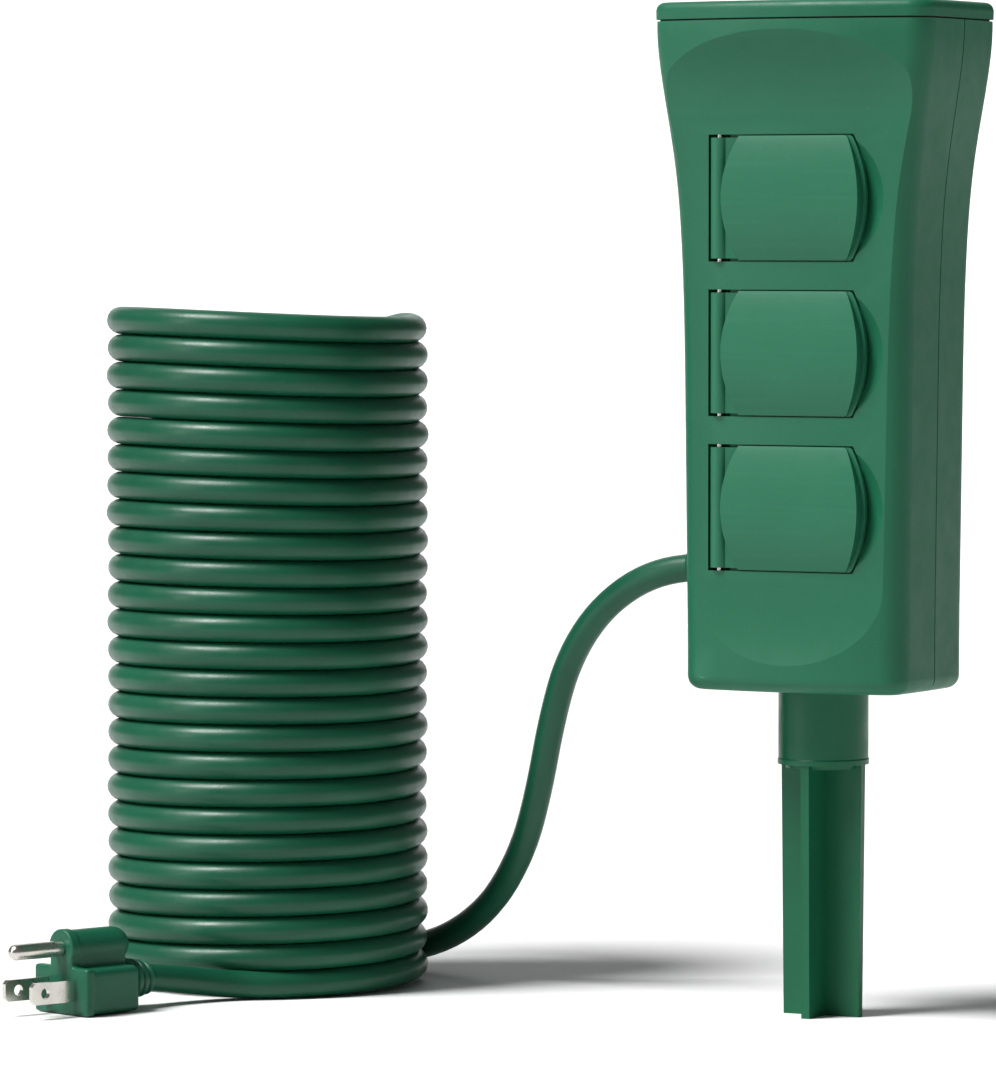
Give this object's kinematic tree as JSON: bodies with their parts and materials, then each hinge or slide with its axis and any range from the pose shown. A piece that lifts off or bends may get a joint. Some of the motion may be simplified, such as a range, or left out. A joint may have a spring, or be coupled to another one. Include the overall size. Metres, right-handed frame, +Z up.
{
  "type": "extension cord",
  "caption": "Garden power stake: an upright housing with spring-flapped outlets on its front and back, a cross-shaped ground spike, and a long coiled cord with a grounded plug.",
  "frame": {"origin": "on the stake's axis at soil level; the spike below Z = 0 is in the ground", "axes": "+Z up along the stake, front outlets facing -Y, the cord leaves towards -X"},
  "size_m": [0.2822, 0.1928, 0.4301],
  "materials": {
    "housing_green": "satin moulded",
    "flap_green": "satin moulded",
    "stake_green": "satin moulded",
    "receptacle_green": "satin moulded",
    "seal_black": "matt",
    "screw_steel": "zinc plated",
    "pin_steel": "bright",
    "contact_brass": "stamped",
    "insulator_white": "matt",
    "lead_black": "satin",
    "jacket_green": "satin PVC",
    "plug_green": "satin PVC",
    "plug_nickel": "nickel plated brass"
  },
  "bodies": {
    "housing": {"front_shell": "housing_green", "rear_shell": "housing_green", "cap": "housing_green", "cap_seal": "seal_black", "stake_collar": "stake_green", "stake": "stake_green", "shell_screws": "screw_steel", "front_hinge_pin_1": "pin_steel", "front_hinge_spring_1": "pin_steel", "front_receptacle_1": "receptacle_green", "front_hinge_pin_2": "pin_steel", "front_hinge_spring_2": "pin_steel", "front_receptacle_2": "receptacle_green", "front_hinge_pin_3": "pin_steel", "front_hinge_spring_3": "pin_steel", "front_receptacle_3": "receptacle_green", "front_line_bus": "contact_brass", "front_neutral_bus": "contact_brass", "front_ground_bus": "contact_brass", "rear_hinge_pin_1": "pin_steel", "rear_hinge_spring_1": "pin_steel", "rear_receptacle_1": "receptacle_green", "rear_hinge_pin_2": "pin_steel", "rear_hinge_spring_2": "pin_steel", "rear_receptacle_2": "receptacle_green", "rear_hinge_pin_3": "pin_steel", "rear_hinge_spring_3": "pin_steel", "rear_receptacle_3": "receptacle_green", "rear_line_bus": "contact_brass", "rear_neutral_bus": "contact_brass", "rear_ground_bus": "contact_brass", "centre_insulator": "insulator_white", "cord_clamp": "insulator_white", "bus_leads": "lead_black", "cord_boot": "jacket_green", "cord_lead": "jacket_green", "cord_coil": "jacket_green", "cord_tail": "jacket_green", "plug_relief": "jacket_green", "plug_body": "plug_green", "plug_blades": "plug_nickel", "plug_ground_pin": "plug_nickel"},
    "front_flap_1_body": {"front_flap_1": "flap_green"},
    "front_flap_2_body": {"front_flap_2": "flap_green"},
    "front_flap_3_body": {"front_flap_3": "flap_green"},
    "rear_flap_1_body": {"rear_flap_1": "flap_green"},
    "rear_flap_2_body": {"rear_flap_2": "flap_green"},
    "rear_flap_3_body": {"rear_flap_3": "flap_green"}
  },
  "joints": [
    {"name": "front_flap_1_hinge", "type": "hinge", "parent": "housing", "child": "front_flap_1_body", "pos_m": [-0.0228, -0.0229, 0.1494], "axis": [0, 0, -1], "range_deg": [0, 95], "stiffness_Nm_per_rad": 0.002, "springref_deg": -57.3},
    {"name": "front_flap_2_hinge", "type": "hinge", "parent": "housing", "child": "front_flap_2_body", "pos_m": [-0.0228, -0.0229, 0.1943], "axis": [0, 0, -1], "range_deg": [0, 95], "stiffness_Nm_per_rad": 0.002, "springref_deg": -57.3},
    {"name": "front_flap_3_hinge", "type": "hinge", "parent": "housing", "child": "front_flap_3_body", "pos_m": [-0.0228, -0.0229, 0.2392], "axis": [0, 0, -1], "range_deg": [0, 95], "stiffness_Nm_per_rad": 0.002, "springref_deg": -57.3},
    {"name": "rear_flap_1_hinge", "type": "hinge", "parent": "housing", "child": "rear_flap_1_body", "pos_m": [0.0228, 0.0229, 0.1494], "axis": [0, 0, -1], "range_deg": [0, 95], "stiffness_Nm_per_rad": 0.002, "springref_deg": -57.3},
    {"name": "rear_flap_2_hinge", "type": "hinge", "parent": "housing", "child": "rear_flap_2_body", "pos_m": [0.0228, 0.0229, 0.1943], "axis": [0, 0, -1], "range_deg": [0, 95], "stiffness_Nm_per_rad": 0.002, "springref_deg": -57.3},
    {"name": "rear_flap_3_hinge", "type": "hinge", "parent": "housing", "child": "rear_flap_3_body", "pos_m": [0.0228, 0.0229, 0.2392], "axis": [0, 0, -1], "range_deg": [0, 95], "stiffness_Nm_per_rad": 0.002, "springref_deg": -57.3}
  ]
}
